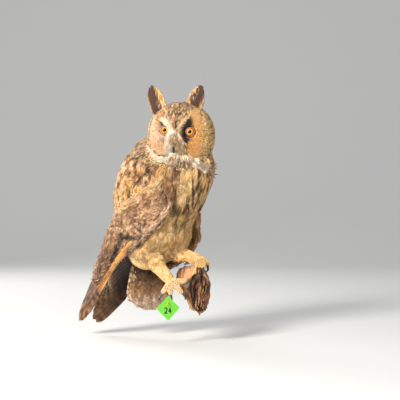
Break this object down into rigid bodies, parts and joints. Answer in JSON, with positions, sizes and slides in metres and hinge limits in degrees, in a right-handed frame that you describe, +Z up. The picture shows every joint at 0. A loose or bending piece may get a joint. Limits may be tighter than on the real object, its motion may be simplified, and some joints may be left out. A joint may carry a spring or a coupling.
{
  "type": "taxidermy owl",
  "caption": "Life-size mounted long-eared owl gripping a broken branch stub that stands out from a wall, with a small numbered card hung from one foot.",
  "frame": {"origin": "middle of the stub's flat back face, where it meets the wall", "axes": "+Y into the wall, +Z up, +X along the wall to the right as seen from the room; the bird stands in front of the wall at -Y"},
  "size_m": [0.2137, 0.1631, 0.366],
  "materials": {
    "body_plumage": "mottled feathers, matt",
    "head_plumage": "short soft feathers, matt",
    "wing_coverts": "mottled feathers, matt",
    "flight_feathers": "barred feathers, matt",
    "leg_plumage": "hair-like feathers, matt",
    "ear_tuft": "long feathers with pale edges, matt",
    "eye": "polished, amber iris with a black pupil",
    "bill": "horn, satin",
    "claw": "horn, satin",
    "wood": "weathered, split, matt",
    "card": "printed, matt",
    "thread": "twisted, matt"
  },
  "bodies": {
    "root": {"wing_right": "wing_coverts", "wing_left": "wing_coverts", "head": "head_plumage", "neck": "body_plumage", "trunk": "body_plumage", "eye_right": "eye", "eye_left": "eye", "bill_upper": "bill", "bill_lower": "bill", "ear_tuft_right": "ear_tuft", "ear_tuft_left": "ear_tuft", "primaries_right": "flight_feathers", "primaries_left": "flight_feathers", "tail": "flight_feathers", "thigh_right": "leg_plumage", "thigh_left": "leg_plumage", "shank_right": "leg_plumage", "shank_left": "leg_plumage", "foot_right": "leg_plumage", "foot_left": "leg_plumage", "stump": "wood", "tag": "card", "tag_thread": "thread", "claw_right_1": "claw", "claw_right_2": "claw", "claw_right_3": "claw", "claw_right_4": "claw", "claw_left_1": "claw", "claw_left_2": "claw", "claw_left_3": "claw", "claw_left_4": "claw"}
  },
  "joints": []
}
